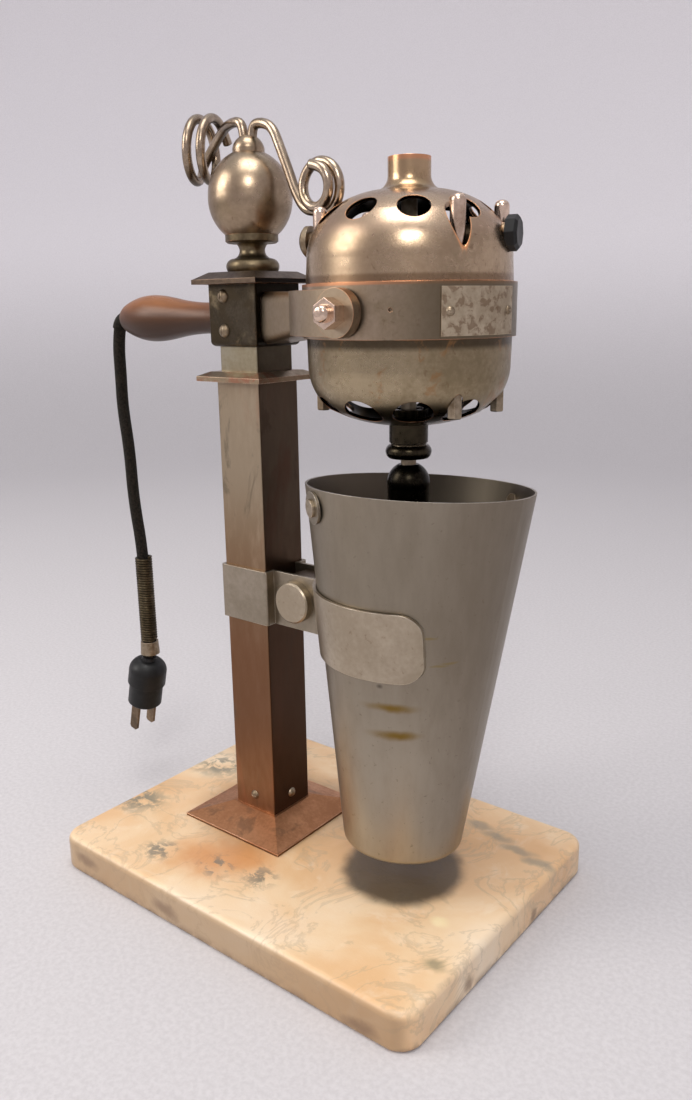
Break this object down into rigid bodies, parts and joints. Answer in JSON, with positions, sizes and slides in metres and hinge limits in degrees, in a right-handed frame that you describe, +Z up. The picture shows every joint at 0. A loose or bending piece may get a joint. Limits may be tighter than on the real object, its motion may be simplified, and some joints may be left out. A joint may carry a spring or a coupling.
{
  "type": "milkshake mixer",
  "caption": "Counter-top milkshake mixer: domed motor head that lifts on a square column over a marble slab, wooden handle, hanging cord, and a tapered metal cup in a spring holder.",
  "frame": {"origin": "on the slab's flat underside, at the column's axis", "axes": "+Z up along the column, +X from the column towards the motor and cup, -Y towards the nameplate side"},
  "size_m": [0.2666, 0.166, 0.3799],
  "materials": {
    "marble": "polished cream marble with grey-green veins, orange areas and a dark ring stain",
    "aged_nickel": "tarnished warm nickel plate on brass, copper showing at the edges",
    "copper_brown": "worn plate with copper-brown oxide",
    "cup_metal": "dull grey nickel sheet with yellow-brown stains",
    "holder_metal": "satin nickel sheet",
    "steel": "plain steel with light wear",
    "blackened_steel": "dark oiled steel",
    "wood": "polished reddish-brown turned wood",
    "cloth": "dark brown braided cloth",
    "hard_rubber": "dark grey hard rubber",
    "prong_brass": "tarnished brass",
    "laminations": "varnished laminated iron",
    "winding": "enamelled copper wire, bound",
    "commutator_copper": "copper segments",
    "bronze": "oiled bearing bronze",
    "carbon": "carbon brush",
    "fibre": "red vulcanised fibre",
    "cork": "cork disc",
    "fan_aluminium": "cast aluminium"
  },
  "bodies": {
    "root": {"marble_slab": "marble", "recess_plug": "cork", "base_flange": "copper_brown", "base_bolt": "steel", "column_foot_screws": "steel", "column_tube": "copper_brown", "column_collar": "aged_nickel"},
    "head": {"post_guide_shoe": "fibre", "inner_post": "aged_nickel", "head_block": "aged_nickel", "head_block_screws": "steel", "top_plate": "aged_nickel", "finial_base": "aged_nickel", "finial_ball": "aged_nickel", "finial_cap": "aged_nickel", "finial_stud": "steel", "wire_guide_left": "aged_nickel", "wire_guide_right": "aged_nickel", "motor_yoke": "aged_nickel", "yoke_studs": "steel", "yoke_nuts": "steel", "handle_core": "steel", "wooden_handle": "wood", "cord_sleeve": "cloth", "cord": "cloth", "strain_spring": "steel", "spring_ferrule": "steel", "plug_body": "hard_rubber", "plug_prongs": "prong_brass", "motor_band": "aged_nickel", "upper_shell": "aged_nickel", "lower_shell": "aged_nickel", "through_bolts": "steel", "through_bolt_nuts": "steel", "field_core": "laminations", "field_coils": "winding", "brush_tubes": "bronze", "brushes": "carbon", "brush_cap_metal": "steel", "brush_cap_black": "hard_rubber", "shaft_bearings": "bronze", "nose_bushing": "aged_nickel", "nameplate": "aged_nickel", "nameplate_screws": "steel"},
    "rotor": {"armature_shaft": "steel", "armature_core": "laminations", "commutator": "commutator_copper", "cooling_fan": "fan_aluminium", "spindle_coupling": "blackened_steel", "agitator_rod": "steel", "agitator_disc": "steel"},
    "holder": {"clamp_strap": "holder_metal", "holder_bracket": "holder_metal", "holder_band": "holder_metal", "band_rivets": "steel", "clamp_nut": "steel"},
    "knob": {"clamp_knob": "holder_metal"},
    "cup": {"cup_body": "cup_metal", "cup_ear_plates": "cup_metal", "cup_ear_rivets": "steel"}
  },
  "joints": [
    {"name": "head_lift", "type": "slide", "parent": "root", "child": "head", "axis": [0, 0, 1], "range_m": [0, 0.155]},
    {"name": "rotor_spin", "type": "hinge", "parent": "head", "child": "rotor", "pos_m": [0.0906, 0, 0.287], "axis": [0, 0, 1], "continuous": true},
    {"name": "holder_slide", "type": "slide", "parent": "root", "child": "holder", "axis": [0, 0, 1], "range_m": [-0.012, 0.006]},
    {"name": "knob_turn", "type": "hinge", "parent": "holder", "child": "knob", "pos_m": [0.0305, -0.012, 0.1486], "axis": [0, 1, 0], "range_deg": [-180, 180]},
    {"name": "cup_lift", "type": "slide", "parent": "holder", "child": "cup", "axis": [0, 0.0785, 0.9969], "range_m": [0, 0.01]}
  ]
}
